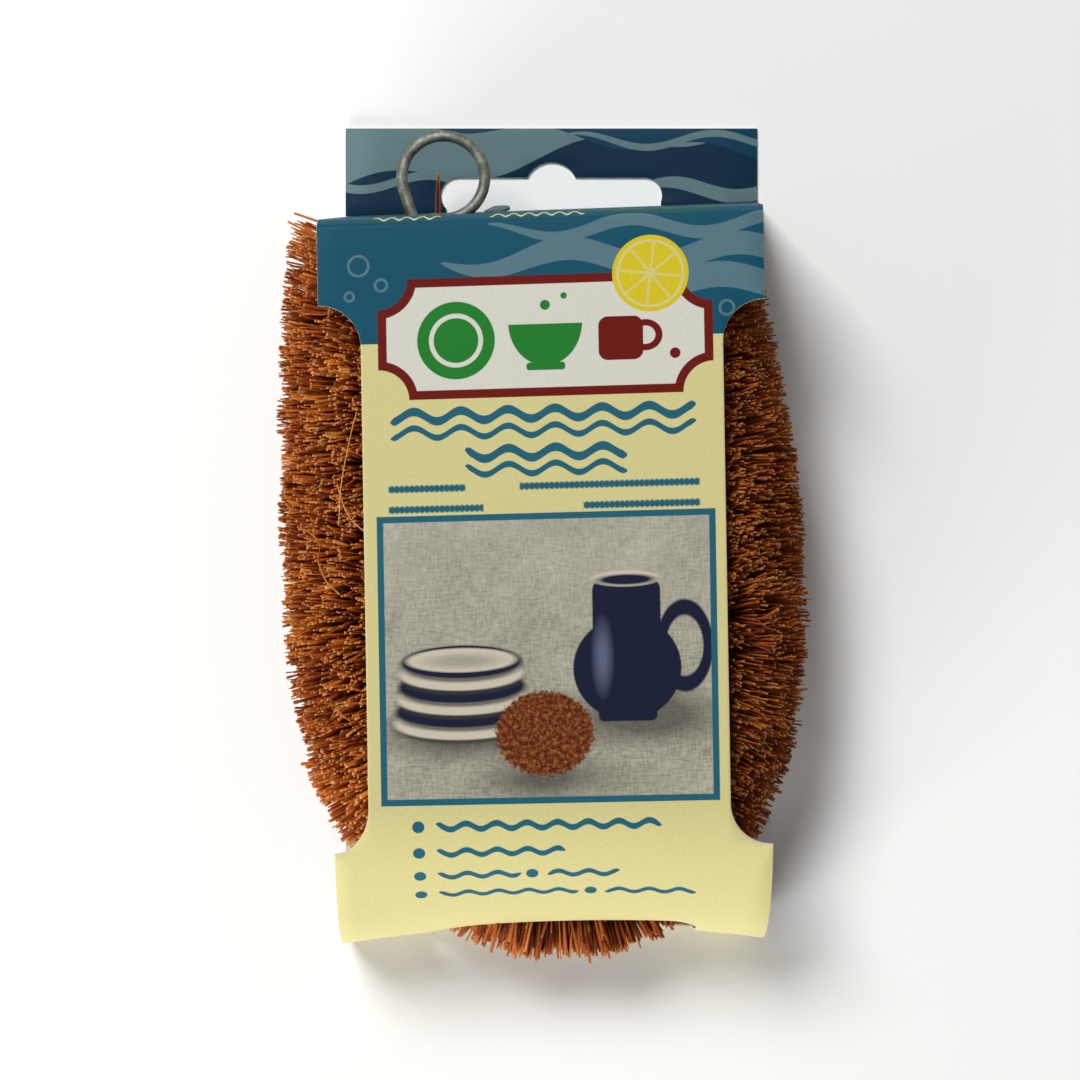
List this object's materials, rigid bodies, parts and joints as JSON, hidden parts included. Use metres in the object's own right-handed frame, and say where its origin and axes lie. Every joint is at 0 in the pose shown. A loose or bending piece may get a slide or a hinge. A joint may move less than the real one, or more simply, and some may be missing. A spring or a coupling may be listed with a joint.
{
  "type": "dish brush",
  "caption": "Coir dish brush on a twisted wire stem bent into a U, with a wire hanging eye, wrapped in a folded card sleeve with a hang tab.",
  "frame": {"origin": "middle of the whole object's footprint, on the surface that the back of the card sleeve lies on", "axes": "+X to the right of the front, +Y along the sleeve towards the hang tab, +Z out of the front panel"},
  "size_m": [0.0948, 0.1506, 0.0425],
  "materials": {
    "galvanised_wire": "dull zinc coat",
    "coir_fibre": "coarse natural coconut fibre",
    "sleeve_card": "printed, light satin varnish",
    "tab_card": "printed, light satin varnish"
  },
  "bodies": {
    "brush_in_sleeve": {"core_wire": "galvanised_wire", "coir_bundle_01": "coir_fibre", "coir_bundle_02": "coir_fibre", "coir_bundle_03": "coir_fibre", "coir_bundle_04": "coir_fibre", "coir_bundle_05": "coir_fibre", "coir_bundle_06": "coir_fibre", "coir_bundle_07": "coir_fibre", "coir_bundle_08": "coir_fibre", "coir_bundle_09": "coir_fibre", "coir_bundle_10": "coir_fibre", "coir_bundle_11": "coir_fibre", "coir_bundle_12": "coir_fibre", "coir_bundle_13": "coir_fibre", "coir_bundle_14": "coir_fibre", "coir_bundle_15": "coir_fibre", "coir_bundle_16": "coir_fibre", "coir_bundle_17": "coir_fibre", "coir_bundle_18": "coir_fibre", "coir_bundle_19": "coir_fibre", "coir_bundle_20": "coir_fibre", "coir_bundle_21": "coir_fibre", "coir_bundle_22": "coir_fibre", "card_sleeve": "sleeve_card"},
    "hang_tab": {"hang_tab": "tab_card"}
  },
  "joints": [
    {"name": "tab_crease", "type": "hinge", "parent": "brush_in_sleeve", "child": "hang_tab", "pos_m": [0.0013, 0.0608, 0.00025], "axis": [0.9994, 0.0349, 0], "range_deg": [-90, 90]}
  ]
}
